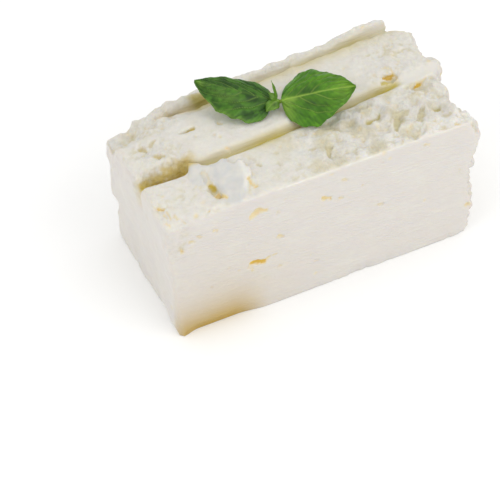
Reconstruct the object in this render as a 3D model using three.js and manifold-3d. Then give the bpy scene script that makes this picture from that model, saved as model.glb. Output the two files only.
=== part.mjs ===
// A block of brined white cheese with a sprig of basil lying on it.
// Millimetres, +Z up. The origin is at the middle of the block's underside, +X runs along the
// block, and -Y points out of its smooth knife-cut front.

import * as THREE from "three";
import { mergeVertices } from "three/addons/utils/BufferGeometryUtils.js";
import { ImprovedNoise } from "three/addons/math/ImprovedNoise.js";
import Module from "manifold-3d";

// Block: sizes between its nominal faces. Its shape is worked out from the lower front left
// corner, with x along the block and y from the front to the back.
const LENGTH = 115;
const WIDTH_LEFT = 61.5; // the back runs a little askew of the front cut
const WIDTH_RIGHT = 67;
const HEIGHT = 54;
const FRONT_LEAN = 1.4; // how far the front cut leans back at the top
const FLOOR_TRIM = 1; // cut off the underside to leave a flat face to rest on

// Two grooves, pressed into the top by the ribs of the draining mould, part it into three strips.
// Each has a steep front wall and a back wall that leans a little.
const FRONT_GROOVE = { left: 24.6, right: 32.8, bow: 1.5, depth: 3.4, frontHalf: 0.9, backHalf: 1.3 };
const REAR_GROOVE = { left: 54, right: 62, bow: 1, depth: 3.6, frontHalf: 0.9, backHalf: 1.3 };
const GROOVE_TORN_TO = 24; // the front groove is torn wide and deep from the left end to here
const FRONT_GROOVE_STARTS = [0, 6]; // it is closed at the left end
const FRONT_GROOVE_ENDS = [92, 106]; // where it runs out towards the right end
const REAR_GROOVE_STARTS = [12, 26];

// Rounding of the edges round the top, and of the upright edges, named by the faces that meet there
const TOP_ROUND = { front: 0.7, frontWorn: 4.6, back: 2.6, left: 2.4, right: 3 };
const FRONT_WORN_TO = [14, 31]; // the front edge is worn round from the left end to about here
const UPRIGHT_ROUND = { frontLeft: 1, frontRight: 2.5, backLeft: 2, backRight: 4.5 };

// Knobs and hollows of the broken right end: place across and up it, reach out of it, and radii
const END_STANDOFF = 1.6;
const END_KNOBS = [
  { y: 53, z: 50, out: 5, ry: 6, rz: 13 },
  { y: 36, z: 47, out: 5.2, ry: 7, rz: 12 },
  { y: 45, z: 22, out: 2.6, ry: 9, rz: 9 },
  { y: 2, z: 42, out: 3.4, ry: 7, rz: 9 },
  { y: 14, z: 17, out: 1.8, ry: 10, rz: 8 },
  { y: 62, z: 28, out: 2, ry: 6, rz: 10 },
  { y: 12, z: 55, out: -2.2, ry: 8, rz: 6 },
  { y: 64, z: 54, out: -2.4, ry: 5, rz: 8 },
];

// Openings in the curd: centre, radii, and turn in the plane of the face they open on
const CURD_HOLES = [
  { at: [33.4, 0.6, 45], radii: [3.7, 1.5, 1.8], turnY: -0.05 },
  { at: [31.6, 0.3, 22.3], radii: [2.9, 1.5, 1.4], turnY: 0.4 },
  { at: [59, 0.6, 39.9], radii: [2, 1.2, 0.9], turnY: 0.2 },
  { at: [22.2, 11.2, 52.8], radii: [1.7, 4.4, 3], turnZ: 0.1 },
  { at: [25.1, 42.5, 54], radii: [2.9, 0.9, 1.8], turnZ: 0.05 },
  { at: [101.2, 34.8, 53], radii: [2.5, 1.3, 1.8], turnZ: -0.3 },
  { at: [108, 26.5, 53], radii: [2.3, 1.5, 1.8], turnZ: 0.3 },
];

// A nick low on the back left edge
const EDGE_NICK = { at: [-1, 61.5, 16], radii: [3, 5.5, 4.4] };

// Basil sprig: each leaf runs from the stem to its tip, with the blade rolled about the midrib
const LEAF_THICKNESS = 0.5;
const SPRIG_FOOT = [-2.1, 4.5]; // where the stem stands on the top of the block
const STEM = { radius: 0.9, rise: 3.4 };
const LEAF_GAP = 0.35; // kept between the sprig and the cheese
const BASIL_OUTLINE = { base: 0.54, taper: 0.92 }; // a lower base power is rounder, a higher taper sharper
const BROAD_OUTLINE = { base: 0.36, taper: 0.76 };
const LEAVES = [
  {
    from: [-2.2, 4.5, 3.2],
    tip: [-26.9, 18.7, 12],
    half: [10.5, 6.5],
    roll: -14,
    arch: 0.4,
    cup: 0.23,
    outline: BROAD_OUTLINE,
  },
  {
    from: [-2, 4.5, 3],
    tip: [23.4, -6.6, 8],
    half: [12, 12],
    roll: 15.5,
    arch: 0.9,
    cup: 0.23,
    outline: BASIL_OUTLINE,
  },
  {
    from: [-2.1, 4.4, 3.2],
    tip: [-7.8, 0.8, 3.6],
    half: [2.4, 2.4],
    roll: -12,
    arch: 1,
    cup: 0.2,
    outline: BASIL_OUTLINE,
  },
  {
    from: [-2.2, 4.6, 3.2],
    tip: [-4.2, 6.4, 6.4],
    half: [1.5, 1.5],
    roll: -20,
    arch: 0.6,
    cup: 0.2,
    outline: BASIL_OUTLINE,
  },
  {
    from: [-2, 4.6, 3],
    tip: [-1.8, 9.2, 9],
    half: [0.6, 0.6],
    roll: 60,
    arch: 0.3,
    cup: 0,
    outline: BASIL_OUTLINE,
  },
];

const perlin = new ImprovedNoise();
const wasm = await Module();
wasm.setup();

const { lerp, smoothstep, clamp, degToRad } = THREE.MathUtils;

// Two octaves of smooth noise whose bumps are about the given size across
function bumps(a, b, size, layer) {
  const coarse = perlin.noise(a / size, b / size, layer * 7.31);
  const fine = perlin.noise((2.3 * a) / size, (2.3 * b) / size, layer * 3.17 + 40);
  return coarse + 0.45 * fine;
}

// How far a quarter-round edge of this radius has dropped at a distance from the edge
function roundOver(distance, radius) {
  const short = radius - clamp(distance, 0, radius);
  return radius - Math.sqrt(radius * radius - short * short);
}

// Block outline in plan

const alongBlock = (x) => clamp(x / LENGTH, 0, 1);
const grooveY = ({ left, right, bow }, x) => lerp(left, right, alongBlock(x) ** bow);
const frontGrooveY = (x) => grooveY(FRONT_GROOVE, x);
const rearGrooveY = (x) => grooveY(REAR_GROOVE, x);

function frontEdgeY(x) {
  return roundOver(x, UPRIGHT_ROUND.frontLeft) + roundOver(LENGTH - x, UPRIGHT_ROUND.frontRight);
}

function backEdgeY(x) {
  const width = lerp(WIDTH_LEFT, WIDTH_RIGHT, alongBlock(x));
  return width - roundOver(x, UPRIGHT_ROUND.backLeft) - roundOver(LENGTH - x, UPRIGHT_ROUND.backRight);
}

// Top of the block

function grooveProfile(across, { frontHalf, backHalf }, slump = 0) {
  const half = across < 0 ? frontHalf : backHalf + slump;
  return Math.exp(-(Math.abs(across / half) ** 3));
}

function frontGrooveDepth(x, across) {
  const torn = 1 - smoothstep(x, GROOVE_TORN_TO - 8, GROOVE_TORN_TO);
  const open = smoothstep(x, ...FRONT_GROOVE_STARTS);
  const runOut = 1 - smoothstep(x, ...FRONT_GROOVE_ENDS);
  const depth = (FRONT_GROOVE.depth + 2.4 * torn) * open * (0.2 + 0.8 * runOut);
  return depth * grooveProfile(across, FRONT_GROOVE, 3 * torn);
}

function rearGrooveDepth(x, across) {
  const open = smoothstep(x, ...REAR_GROOVE_STARTS);
  return REAR_GROOVE.depth * open * grooveProfile(across, REAR_GROOVE);
}

// Strip by strip: the front one falls to its left corner, the middle one is crowned, and the back
// one is uneven and has broken away at its left end.
function stripHeight(x, y) {
  const front = frontGrooveY(x);
  const rear = rearGrooveY(x);
  const cornerFall = (1 - smoothstep(x, -4, 30)) * (1 - smoothstep(y, 0, 22));
  const frontStrip = -1.4 - 0.5 * (1 - y / front) - 1.6 * cornerFall;
  const across = clamp((y - front) / (rear - front), 0, 1);
  const crown = 1 - (2 * across - 1) ** 4;
  const tornLip = (1 - smoothstep(x, 16, 26)) * (1 - smoothstep(y - front, 1, 8));
  const middleStrip = -1.1 + 1.1 * crown - 1.6 * (1 - smoothstep(x, 0, 14)) - 2 * tornLip;
  const backStrip = -0.4 + 1.1 * bumps(x, 0, 17, 2) + 1.9 * smoothstep(x, 86, 98);
  const breakAway = 7 * (1 - smoothstep(x, 3, 23)) * smoothstep(y, 44, 57);
  const past = (edge) => smoothstep(y, edge - 0.8, edge + 0.8);
  return lerp(lerp(frontStrip, middleStrip, past(front)), backStrip, past(rear)) - breakAway;
}

// Torn curd on the right of the front strip and by its left corner, finer unevenness elsewhere
function topRelief(x, y) {
  const onFrontStrip = 1 - smoothstep(y, frontGrooveY(x) - 5, frontGrooveY(x) - 1.5);
  const tornRight = smoothstep(x, 52, 72) * smoothstep(y, 2.5, 6);
  const tornLeft = 1 - smoothstep(x, 4, 16);
  const torn = onFrontStrip * Math.max(tornRight, 0.7 * tornLeft);
  const offCut = smoothstep(y, 0.4, 3);
  return offCut * (0.35 * bumps(x, y, 6, 1) + 1.15 * torn * bumps(x, y, 5.2, 4));
}

function topHeight(x, y, edges) {
  const unevenness = 1 + 0.5 * bumps(x, y, 9, 5);
  const frontRound = lerp(TOP_ROUND.frontWorn, TOP_ROUND.front, smoothstep(x, ...FRONT_WORN_TO));
  const rounding =
    roundOver(y - edges.front, frontRound) +
    roundOver(edges.back - y, TOP_ROUND.back * unevenness) +
    roundOver(x, TOP_ROUND.left * unevenness) +
    roundOver(LENGTH - x, TOP_ROUND.right * unevenness);
  const grooves =
    frontGrooveDepth(x, y - frontGrooveY(x)) + rearGrooveDepth(x, y - rearGrooveY(x));
  return HEIGHT + stripHeight(x, y) + topRelief(x, y) - grooves - rounding;
}

// Sides and ends: how far each face stands off its nominal plane

function leftEndX(y, z) {
  return 0.9 * bumps(y, z, 13, 6) - 0.9 * smoothstep(y, 20, 50);
}

function rightEndX(y, z) {
  const knob = ({ y: ky, z: kz, out, ry, rz }) =>
    out * Math.exp(-(((y - ky) / ry) ** 2) - ((z - kz) / rz) ** 2);
  return END_KNOBS.reduce((sum, k) => sum + knob(k), END_STANDOFF) + 1.7 * bumps(y, z, 7.5, 8);
}

const frontY = (x, z) => (FRONT_LEAN * z) / HEIGHT + 0.2 * bumps(x, z, 20, 9);
const backY = (x, z) => 1.1 * bumps(x, z, 12, 10);

// Grid rows follow the grooves, and crowd towards them and towards the block's edges
const COLUMNS = 60;
const LEVELS = 11;
const STRIP_ROWS = [13, 16, 8]; // front, middle and back strip
const ROWS = STRIP_ROWS.reduce((a, b) => a + b);

const crowdEnds = (t, amount) => t - amount * Math.sin(2 * Math.PI * t);

function rowY(row, x, edges) {
  const stops = [edges.front, frontGrooveY(x), rearGrooveY(x), edges.back];
  let first = 0;
  let strip = 0;
  while (strip < 2 && row > first + STRIP_ROWS[strip]) first += STRIP_ROWS[strip++];
  const t = crowdEnds((row - first) / STRIP_ROWS[strip], 0.09);
  return lerp(stops[strip], stops[strip + 1], t);
}

// A point of the block, given as shares of its length, width and height
function blockPoint(sx, sy, sz) {
  const x = LENGTH * crowdEnds(sx, 0.05);
  const edges = { front: frontEdgeY(x), back: backEdgeY(x) };
  const y = rowY(Math.round(sy * ROWS), x, edges);
  const z = crowdEnds(sz, 0.05) * (topHeight(x, y, edges) + FLOOR_TRIM) - FLOOR_TRIM;
  const nearEnd = (share) => share ** 8; // a face's own relief dies away inside the block
  return new THREE.Vector3(
    x + leftEndX(y, z) * nearEnd(1 - sx) + rightEndX(y, z) * nearEnd(sx),
    y + frontY(x, z) * nearEnd(1 - sy) + backY(x, z) * nearEnd(sy),
    z,
  );
}

function roughBlock() {
  const box = new THREE.BoxGeometry(1, 1, 1, COLUMNS, ROWS, LEVELS);
  const points = box.attributes.position;
  for (let i = 0; i < points.count; i++) {
    const p = blockPoint(points.getX(i) + 0.5, points.getY(i) + 0.5, points.getZ(i) + 0.5);
    points.setXYZ(i, p.x, p.y, p.z);
  }
  return box;
}

// Closed solids and the boolean library

function toSolid(geometry) {
  const bare = new THREE.BufferGeometry();
  bare.setAttribute("position", geometry.getAttribute("position"));
  bare.setIndex(geometry.index);
  const merged = mergeVertices(bare, 1e-4);
  const vertProperties = new Float32Array(merged.attributes.position.array);
  const triVerts = new Uint32Array(merged.index.array);
  return new wasm.Manifold(new wasm.Mesh({ numProp: 3, vertProperties, triVerts }));
}

function toGeometry(solid) {
  const mesh = solid.getMesh();
  const geometry = new THREE.BufferGeometry();
  geometry.setAttribute("position", new THREE.BufferAttribute(mesh.vertProperties, 3));
  geometry.setIndex(new THREE.BufferAttribute(mesh.triVerts, 1));
  return geometry;
}

// A lump with an uneven surface, for openings in the curd and the nick in its edge
function curdLump({ at, radii, turnY = 0, turnZ = 0 }, layer) {
  const lump = new THREE.IcosahedronGeometry(1, 2);
  const points = lump.attributes.position;
  const p = new THREE.Vector3();
  for (let i = 0; i < points.count; i++) {
    p.fromBufferAttribute(points, i);
    const swell = 1 + 0.5 * perlin.noise(2.1 * p.x + layer, 2.1 * p.y, 2.1 * p.z);
    p.multiplyScalar(swell).multiply(new THREE.Vector3(...radii));
    points.setXYZ(i, p.x, p.y, p.z);
  }
  return lump.rotateY(turnY).rotateZ(turnZ).translate(...at);
}

// A closed solid between two grids of points of the same size, the upper one facing up
function between(upperAt, lowerAt, across, along) {
  const positions = [];
  const index = [];
  for (const at of [upperAt, lowerAt])
    for (let j = 0; j <= along; j++)
      for (let i = 0; i <= across; i++) positions.push(...at(i / across, j / along).toArray());
  const wide = across + 1;
  const lower = wide * (along + 1);
  const quad = (a, b, c, d) => index.push(a, b, c, a, c, d);
  for (let j = 0; j < along; j++)
    for (let i = 0; i < across; i++) {
      const a = j * wide + i;
      const corners = [a, a + 1, a + 1 + wide, a + wide];
      quad(...corners);
      quad(...corners.reverse().map((k) => k + lower));
    }
  for (let i = 0; i < across; i++) {
    quad(i + 1, i, i + lower, i + 1 + lower);
    const back = along * wide + i;
    quad(back, back + 1, back + 1 + lower, back + lower);
  }
  for (let j = 0; j < along; j++) {
    const left = j * wide;
    quad(left, left + wide, left + wide + lower, left + lower);
    const right = left + across;
    quad(right + wide, right, right + lower, right + wide + lower);
  }
  const geometry = new THREE.BufferGeometry();
  geometry.setAttribute("position", new THREE.Float32BufferAttribute(positions, 3));
  geometry.setIndex(index);
  return geometry;
}

// Flakes peeled up by the knife, each a low plate rooted in the front strip: an outline of four
// corners with the height of each above the block's nominal top, and the bulge of its two sides.
// The back edge swells in the middle and is torn in beside its right corner.
const FLAKE_ROOT = HEIGHT - 9;
const FLAKE_RIM = 0.78; // share of its width where a flake's slope ends in a level rim
const FLAKES = [
  {
    backLeft: [24.6, 22.8, -0.8],
    backRight: [35.6, 19.3, 0.3],
    tipRight: [28, 2.1, -1.6],
    tipLeft: [24.2, 3.2, -1.4],
    bulge: [0, 3.2],
    tear: 3,
  },
  {
    backLeft: [18.9, 26.9, 0.2],
    backRight: [24.2, 22.6, -0.6],
    tipRight: [20.8, 15.6, -1.5],
    tipLeft: [17.4, 17.2, -1.6],
    bulge: [-0.3, 0.3],
    tear: 0.8,
  },
];

function flake({ backLeft, backRight, tipRight, tipLeft, bulge, tear }) {
  const corner = ([x, y, rise]) => new THREE.Vector3(x, y, HEIGHT + rise);
  const peak = (u, middle, width) => Math.exp(-(((u - middle) / width) ** 2));
  const upperAt = (u, v) => {
    const back = corner(backLeft).lerp(corner(backRight), u);
    const tip = corner(tipLeft).lerp(corner(tipRight), u);
    const p = tip.lerp(back, v);
    const left = lerp(tipLeft[2], backLeft[2], v);
    const right = lerp(tipRight[2], backRight[2], v);
    p.x += lerp(...bulge, u) * Math.sin(Math.PI * v);
    p.y += tear * (0.95 * peak(u, 0.52, 0.2) - 1.3 * peak(u, 0.75, 0.08)) * v ** 3;
    p.z = HEIGHT + lerp(left, right, Math.min(u / FLAKE_RIM, 1));
    p.z += 0.5 * Math.sin(Math.PI * v) * (u - 0.3) + 0.3 * perlin.noise(p.x / 2.5, p.y / 2.5, 5);
    return p;
  };
  const lowerAt = (u, v) => upperAt(u, v).setZ(FLAKE_ROOT);
  return between(upperAt, lowerAt, 11, 9);
}

function cheeseBlock() {
  let solid = toSolid(roughBlock());
  FLAKES.forEach((f) => (solid = solid.add(toSolid(flake(f)))));
  [...CURD_HOLES, EDGE_NICK].forEach((b, i) => (solid = solid.subtract(toSolid(curdLump(b, i)))));
  const floor = new THREE.BoxGeometry(3 * LENGTH, 3 * LENGTH, HEIGHT).translate(0, 0, -HEIGHT / 2);
  const geometry = toGeometry(solid.subtract(toSolid(floor)));
  geometry.computeBoundingBox();
  const middle = geometry.boundingBox.getCenter(new THREE.Vector3());
  return geometry.translate(-middle.x, -middle.y, 0);
}

// Basil

// Share of the half-width at a share of the leaf's length: a short stalk, a round base, a point
const LEAF_STALK = 0.05;
const LEAF_EDGE_WAVES = 5;

function leafOutline({ base, taper }, u) {
  const blade = clamp((u - LEAF_STALK) / (1 - LEAF_STALK), 0, 1);
  const widest = base / (base + taper);
  const shape = (blade / widest) ** base * ((1 - blade) / (1 - widest)) ** taper;
  return shape * (1 + 0.03 * Math.sin(2 * Math.PI * LEAF_EDGE_WAVES * blade));
}

// A point of the leaf's middle surface: u along the midrib, v from one edge to the other
function leafPoint(leaf, u, v) {
  const from = new THREE.Vector3(...leaf.from);
  const along = new THREE.Vector3(...leaf.tip).sub(from);
  const length = along.length();
  const side = new THREE.Vector3(0, 0, 1).cross(along).normalize();
  side.applyAxisAngle(along.clone().normalize(), degToRad(leaf.roll));
  const up = along.clone().cross(side).normalize();
  const widest = leaf.half[v > 0 ? 0 : 1];
  const half = Math.max(widest * leafOutline(leaf.outline, u), 0.01 * length + 0.1);
  const ripple = 0.05 * widest * Math.sin(14 * u + 2 * v) * v * v;
  const rise = leaf.arch * Math.sin(Math.PI * u) - leaf.cup * half * v * v + ripple;
  return from.addScaledVector(along, u).addScaledVector(side, half * v).addScaledVector(up, rise);
}

// The leaf lies on whatever it meets below it, so no point is lower than that
function leafSolid(leaf, floorAt, across, along) {
  const middleAt = (s, u) => {
    const p = leafPoint(leaf, u, 1 - 2 * s);
    p.z = Math.max(p.z, floorAt(p.x, p.y) + LEAF_GAP + LEAF_THICKNESS / 2);
    return p;
  };
  const halfThick = new THREE.Vector3(0, 0, LEAF_THICKNESS / 2);
  return between(
    (s, u) => middleAt(s, u).add(halfThick),
    (s, u) => middleAt(s, u).sub(halfThick),
    across,
    along,
  );
}

// Height of the block's top under a point, found by a ray from above
function surfaceOf(geometry) {
  const mesh = new THREE.Mesh(geometry, new THREE.MeshBasicMaterial({ side: THREE.DoubleSide }));
  const down = new THREE.Vector3(0, 0, -1);
  const ray = new THREE.Raycaster();
  return (x, y) => {
    ray.set(new THREE.Vector3(x, y, 2 * HEIGHT), down);
    const hits = ray.intersectObject(mesh);
    return hits.length ? hits[0].point.z : 0;
  };
}

function basilSprig(blockTop) {
  const top = blockTop(...SPRIG_FOOT);
  const foot = top + LEAF_GAP;
  const stem = new THREE.CylinderGeometry(STEM.radius, 0.8 * STEM.radius, STEM.rise, 12);
  stem.rotateX(Math.PI / 2).translate(...SPRIG_FOOT, foot + STEM.rise / 2);
  const floorAt = (x, y) => blockTop(x, y) - top;
  const pieces = LEAVES.map((leaf) => {
    const [across, along] = leaf.half[0] > 3 ? [10, 16] : [4, 6];
    return leafSolid(leaf, floorAt, across, along).translate(0, 0, top);
  });
  return toGeometry(pieces.reduce((sum, piece) => sum.add(toSolid(piece)), toSolid(stem)));
}

// Assembly

const curd = new THREE.MeshStandardMaterial({ color: "#f0ece2", roughness: 0.55, metalness: 0 });
const basilGreen = new THREE.MeshStandardMaterial({ color: "#5e883c", roughness: 0.42, metalness: 0 });

function namedMesh(name, geometry, material) {
  const mesh = new THREE.Mesh(geometry, material);
  mesh.name = name;
  return mesh;
}

const cheese = cheeseBlock();
const part = new THREE.Group();
part.add(namedMesh("cheese_block", cheese, curd));
part.add(namedMesh("basil_sprig", basilSprig(surfaceOf(cheese)), basilGreen));

export default part;
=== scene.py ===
import itertools
import math
from types import SimpleNamespace

import bmesh
import bpy
import numpy as np
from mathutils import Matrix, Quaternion, Vector
from mathutils.bvhtree import BVHTree
from mathutils.kdtree import KDTree


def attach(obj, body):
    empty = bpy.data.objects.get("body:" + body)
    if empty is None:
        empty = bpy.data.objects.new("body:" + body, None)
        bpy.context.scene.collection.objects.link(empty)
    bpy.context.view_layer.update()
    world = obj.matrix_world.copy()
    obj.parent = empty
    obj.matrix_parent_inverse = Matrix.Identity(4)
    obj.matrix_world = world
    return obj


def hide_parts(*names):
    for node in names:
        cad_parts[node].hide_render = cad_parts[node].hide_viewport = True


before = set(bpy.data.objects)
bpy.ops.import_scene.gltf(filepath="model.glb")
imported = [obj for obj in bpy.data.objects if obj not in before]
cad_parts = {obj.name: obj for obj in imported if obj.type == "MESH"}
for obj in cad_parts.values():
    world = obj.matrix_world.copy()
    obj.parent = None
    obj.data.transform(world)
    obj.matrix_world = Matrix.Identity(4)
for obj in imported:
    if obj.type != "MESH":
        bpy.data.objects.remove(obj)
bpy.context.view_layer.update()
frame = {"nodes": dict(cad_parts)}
mm = 0.001
scene = bpy.context.scene
print("frame loaded:", ", ".join(frame["nodes"]))


# small helpers

def srgb(code):
    # hex colour as picked on screen, to the linear values that shaders take
    parts = [int(code[i:i + 2], 16) / 255 for i in (1, 3, 5)]
    return tuple(c / 12.92 if c <= 0.04045 else ((c + 0.055) / 1.055) ** 2.4 for c in parts) + (1.0,)


def addNode(tree, kind, settings=None, **sockets):
    # socket names are written with _ for a space; a socket given as a value is linked
    node = tree.nodes.new("ShaderNode" + kind)
    for name, value in (settings or {}).items():
        setattr(node, name, value)
    for name, value in sockets.items():
        key = int(name[1:]) if name[0] == "i" and name[1:].isdigit() else name.replace("_", " ")
        if isinstance(value, bpy.types.NodeSocket):
            tree.links.new(value, node.inputs[key])
        else:
            node.inputs[key].default_value = value
    return node


def newMaterial(name):
    material = bpy.data.materials.new(name)
    material.use_nodes = True
    tree = material.node_tree
    tree.nodes.clear()
    return material, tree


def ease(value, low, high):
    # 0 below low, 1 above high, smooth between; works on arrays
    t = np.clip((np.asarray(value, float) - low) / (high - low), 0, 1)
    return t * t * (3 - 2 * t)


def bumps(points, size, layer):
    # smooth random swells about size mm across, from about -1 to 1
    slopes = np.random.default_rng(layer).normal(size=(4096, 3))
    slopes /= np.linalg.norm(slopes, axis=1, keepdims=True)
    spot = points / size + 11.3 * layer
    cell = np.floor(spot).astype(np.int64)
    inside = spot - cell
    blend = inside ** 3 * (inside * (inside * 6 - 15) + 10)
    total = np.zeros(len(points))
    for corner in itertools.product((0, 1), repeat=3):
        node = cell + corner
        pick = (node[:, 0] * 73856093 ^ node[:, 1] * 19349663 ^ node[:, 2] * 83492791) & 4095
        share = np.where(corner, blend, 1 - blend).prod(axis=1)
        total += share * (slopes[pick] * (inside - corner)).sum(axis=1)
    return 1.7 * total


def lumps(points, size, layer):
    # rounded lumps with creases between them, from 0 in a crease to about 1
    bend = np.stack([bumps(points, 0.6 * size, layer + k) for k in (1, 2, 3)], axis=1)
    return np.abs(bumps(points + 0.25 * size * bend, size, layer)) * 1.5


def meshPoints(mesh, what="co"):
    flat = np.empty(len(mesh.vertices) * 3)
    mesh.vertices.foreach_get(what, flat)
    return flat.reshape(-1, 3)


def movePoints(mesh, points):
    mesh.vertices.foreach_set("co", (points * mm).ravel())
    mesh.update()


def smoothShading(mesh):
    mesh.polygons.foreach_set("use_smooth", np.ones(len(mesh.polygons), bool))
    mesh.update()


def paintAttribute(mesh, name, values):
    layer = mesh.attributes.new(name, "FLOAT", "POINT")
    layer.data.foreach_set("value", np.asarray(values, np.float32))


def closedSheet(name, upper, lower, across, along):
    # a thin closed piece between two grids of the same size, which run row by row
    wide, shift = across + 1, len(upper)
    faces = []
    for j in range(along):
        for i in range(across):
            a = j * wide + i
            faces.append((a, a + 1, a + 1 + wide, a + wide))
            faces.append(tuple(k + shift for k in (a + wide, a + 1 + wide, a + 1, a)))
    rim = list(range(wide)) + [j * wide + across for j in range(1, along + 1)]
    rim += [along * wide + i for i in range(across - 1, -1, -1)] + [j * wide for j in range(along - 1, 0, -1)]
    for a, b in zip(rim, rim[1:] + rim[:1]):
        faces.append((b, a, a + shift, b + shift))
    mesh = bpy.data.meshes.new(name)
    mesh.from_pydata([Vector(p) * mm for p in upper + lower], [], faces)
    smoothShading(mesh)
    piece = bpy.data.objects.new(name, mesh)
    scene.collection.objects.link(piece)
    return piece


# camera, as the photograph was taken: a long lens from the front left, tipped a little
photoCamera = {
    "place": (-154.7, -372.9, 389.0),  # mm
    "aim": (-23.5, -12.0, 8.5),
    "rollDeg": -5.58,
    "lens": 106.96,
    "sensor": 36.0,
}


def setCamera(spec):
    data = bpy.data.cameras.new("photoCamera")
    data.lens = spec["lens"]
    data.sensor_width = spec["sensor"]
    data.clip_start, data.clip_end = 0.01, 50
    camera = bpy.data.objects.new("photoCamera", data)
    scene.collection.objects.link(camera)
    place, aim = Vector(spec["place"]) * mm, Vector(spec["aim"]) * mm
    look = (aim - place).to_track_quat("-Z", "Y")
    camera.rotation_mode = "QUATERNION"
    camera.rotation_quaternion = look @ Quaternion((0, 0, 1), math.radians(spec["rollDeg"]))
    camera.location = place
    scene.camera = camera


setCamera(photoCamera)


# studio: white sweep, one big softbox from the front right, one overhead, a weak one on the left
studio = {
    "floor": "#fcfcfb",
    "floorHalf": 6000.0,  # mm
    "floorDrop": 0.05,  # mm below the cheese, so that the two never share a plane
    "world": "#ffffff",
    "worldStrength": 0.86,
    "aim": (0, 0, 28),  # mm, the middle of the block
    "boxes": [
        # name, place mm, size mm, watts
        ("keyBox", (420, -640, 560), 800, 2.6),
        ("overheadBox", (60, 120, 900), 900, 0.8),
        ("leftBox", (-760, -120, 460), 600, 1.15),
    ],
}


def setStudio(spec):
    aim = Vector(spec["aim"]) * mm
    for name, place, size, watts in spec["boxes"]:
        light = bpy.data.lights.new(name, "AREA")
        light.shape = "SQUARE"
        light.size = size * mm
        light.energy = watts
        box = bpy.data.objects.new(name, light)
        box.location = Vector(place) * mm
        box.rotation_euler = (aim - box.location).to_track_quat("-Z", "Y").to_euler()
        scene.collection.objects.link(box)
    world = bpy.data.worlds.new("studio")
    scene.world = world
    world.use_nodes = True
    backdrop = world.node_tree.nodes["Background"]
    backdrop.inputs["Color"].default_value = srgb(spec["world"])
    backdrop.inputs["Strength"].default_value = spec["worldStrength"]
    scene.view_settings.view_transform = "Standard"

    half = spec["floorHalf"] * mm
    sheet = bpy.data.meshes.new("floor")
    corners = [(-half, -half, 0), (half, -half, 0), (half, half, 0), (-half, half, 0)]
    sheet.from_pydata(corners, [], [(0, 1, 2, 3)])
    floor = bpy.data.objects.new("floor", sheet)
    floor.location.z = -spec["floorDrop"] * mm
    scene.collection.objects.link(floor)
    # matt white studio paper: no gloss at all, so it only carries the soft contact shadow
    material, tree = newMaterial("studioPaperMatt")
    paper = addNode(tree, "BsdfPrincipled", Base_Color=srgb(spec["floor"]), Roughness=0.95)
    paper.inputs["Specular IOR Level"].default_value = 0.1
    addNode(tree, "OutputMaterial", Surface=paper.outputs[0])
    sheet.materials.append(material)


setStudio(studio)
print("camera and studio set")


# cheese block: the solid's skin, softened, then given the torn and cut surfaces of curd; sizes in mm
cheese = {
    "corner": (-60.17, -33.53),  # lower front left corner; the places below are counted from it
    "length": 115.0,
    "voxel": 0.64,  # spacing of the skin's mesh
    "settlePasses": 5,  # smoothing that takes off the solid's facets
    "frontGroove": (24.6, 32.8, 1.5),  # y at the left and right end, and how its line bows
    "rearGroove": (54.0, 62.0, 1.0),
    "lumps": (6.0, 2.8, 1.5),  # width of the curd lumps, in three sizes
    "hills": 5.5,  # width of the swells of the torn curd
    "ridges": (5.0, 1.1),  # width and height of the ridges on the broken corner and the rear strip
    "pores": 380,
    "poreRadius": (0.4, 0.95),
    "poreDepth": (0.2, 0.5),
    "poreTone": (0.1, 0.5),
    "fall": 2.0,  # how far the middle strip falls towards the start of the rear groove
    "fill": 1.2,  # how far that start is filled
    "burr": 0.3,  # thin burr that the knife left along the upper front edge
    "undercut": 1.3,  # foot of the front, at the left
    "chips": (5.0, 2.0),  # width of the chips along the foot, in two sizes
    "seed": 7,
}

# openings in the curd by face and by the colour of the shade painted in them, each a short tapered slot: its
# two ends on the face, its half width at each end, its depth, all in mm, and how strong its painted shade is
openings = {}
openings["front", "amber"] = [
    (30.4, 43.6, 33.8, 45.4, 0.6, 1.5, 0.3, 0.5),  # a pale wedge
    (33.8, 45.4, 36.6, 44.6, 1.5, 0.6, 0.3, 0.55),
    (29.2, 23.2, 33.9, 21.5, 0.9, 0.9, 0.6, 1.0),  # the strongest, with specks beside it
    (35.0, 22.9, 36.4, 23.2, 0.5, 0.4, 0.4, 0.5),
    (37.6, 23.4, 38.7, 23.3, 0.5, 0.4, 0.4, 0.5),
    (28.4, 21.7, 29.5, 20.9, 0.7, 0.5, 0.3, 0.3),
    (29.1, 19.8, 29.3, 19.5, 0.5, 0.4, 0.3, 0.5),
    (57.6, 40.9, 60.4, 39.8, 0.9, 0.6, 0.5, 0.65),
    (63.8, 38.5, 64.8, 38.1, 0.5, 0.4, 0.4, 0.45),
    (40.3, 31.2, 41.7, 30.4, 0.7, 0.5, 0.5, 0.5),
    (78.7, 29.2, 80.3, 28.7, 0.7, 0.5, 0.5, 0.4),
    (97.2, 48.6, 98.9, 48.2, 0.6, 0.5, 0.4, 0.4),
    (114.4, 13.2, 116.2, 12.6, 1.0, 0.8, 0.7, 0.5),
    (65.4, 46.2, 66.8, 45.6, 0.6, 0.4, 0.4, 0.45),
    (60.8, 50.4, 61.8, 50.1, 0.5, 0.4, 0.3, 0.35),
    (39.3, 17.2, 40.4, 16.7, 0.5, 0.4, 0.4, 0.35),
    (52.8, 13.3, 54.0, 12.9, 0.5, 0.4, 0.4, 0.35),
    (17.3, 43.9, 18.3, 43.6, 0.6, 0.5, 0.4, 0.5),
    (11.6, 43.6, 12.5, 43.2, 0.5, 0.5, 0.4, 0.5),
    (8.2, 42.8, 9.6, 42.3, 0.6, 0.4, 0.4, 0.55),
    (24.0, 22.3, 24.6, 22.0, 0.5, 0.4, 0.3, 0.35),
    (4.6, 40.6, 5.2, 39.2, 0.5, 0.5, 0.5, 0.6),
]
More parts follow.
